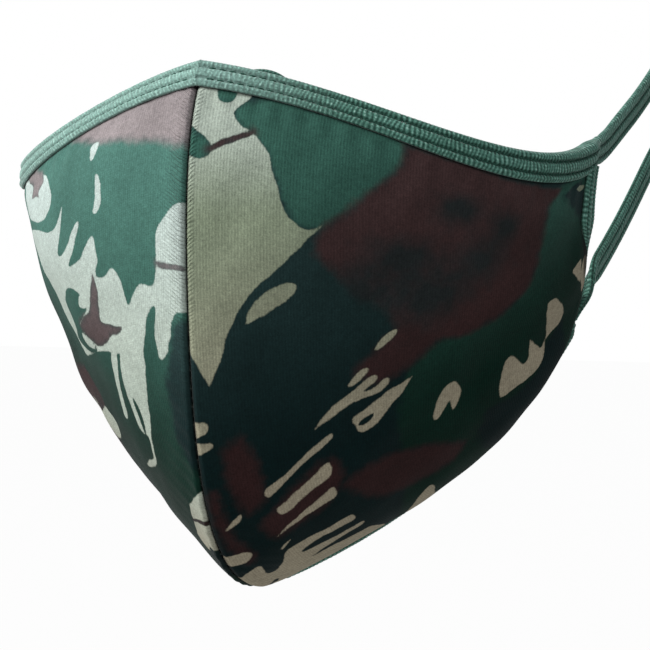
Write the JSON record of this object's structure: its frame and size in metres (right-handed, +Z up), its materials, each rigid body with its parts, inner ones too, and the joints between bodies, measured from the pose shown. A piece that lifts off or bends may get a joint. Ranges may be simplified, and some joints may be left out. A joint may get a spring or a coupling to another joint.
{
  "type": "fabric face mask",
  "caption": "Moulded two-half camouflage jersey face mask with ribbed binding tape round its edges and elastic ear loops, in its worn shape.",
  "frame": {"origin": "middle of the face opening: on the centre seam's plane, just in front of the side edges, at mid-height between nose and chin", "axes": "+Z up as worn; the mask faces -Y and the wearer's face comes in along -Y; +X is the wearer's left"},
  "size_m": [0.1979, 0.1778, 0.1708],
  "materials": {
    "camo_jersey": "brushed printed knit, matt",
    "lining_jersey": "plain fine knit, matt",
    "binding_tape": "ribbed elastic tape, slight sheen",
    "green_thread": "spun thread",
    "seam_thread": "spun thread"
  },
  "bodies": {
    "left_half": {"left_outer_panel": "camo_jersey", "left_lining": "lining_jersey", "left_top_binding": "binding_tape", "left_bottom_binding": "binding_tape", "left_side_binding": "binding_tape", "left_top_stitches": "green_thread", "left_bottom_stitches": "green_thread", "left_side_stitches": "green_thread"},
    "right_half": {"right_outer_panel": "camo_jersey", "right_lining": "lining_jersey", "right_top_binding": "binding_tape", "right_bottom_binding": "binding_tape", "right_side_binding": "binding_tape", "right_top_stitches": "green_thread", "right_bottom_stitches": "green_thread", "right_side_stitches": "green_thread", "centre_seam_stitches": "seam_thread", "lining_seam_stitches": "seam_thread"},
    "left_loop": {"left_ear_loop": "binding_tape", "left_loop_stitches": "green_thread"},
    "right_loop": {"right_ear_loop": "binding_tape", "right_loop_stitches": "green_thread"}
  },
  "joints": [
    {"name": "centre_fold", "type": "hinge", "parent": "left_half", "child": "right_half", "pos_m": [0, -0.03, 0.002], "axis": [0, 0.3737, -0.9276], "range_deg": [0, 40]},
    {"name": "left_loop_swing", "type": "hinge", "parent": "left_half", "child": "left_loop", "pos_m": [0.085, 0.01725, 0.034], "axis": [-0.1468, 0.2201, -0.9644], "range_deg": [-10, 80]},
    {"name": "right_loop_swing", "type": "hinge", "parent": "right_half", "child": "right_loop", "pos_m": [-0.085, 0.01725, 0.034], "axis": [-0.1468, -0.2201, 0.9644], "range_deg": [-5, 120]}
  ]
}
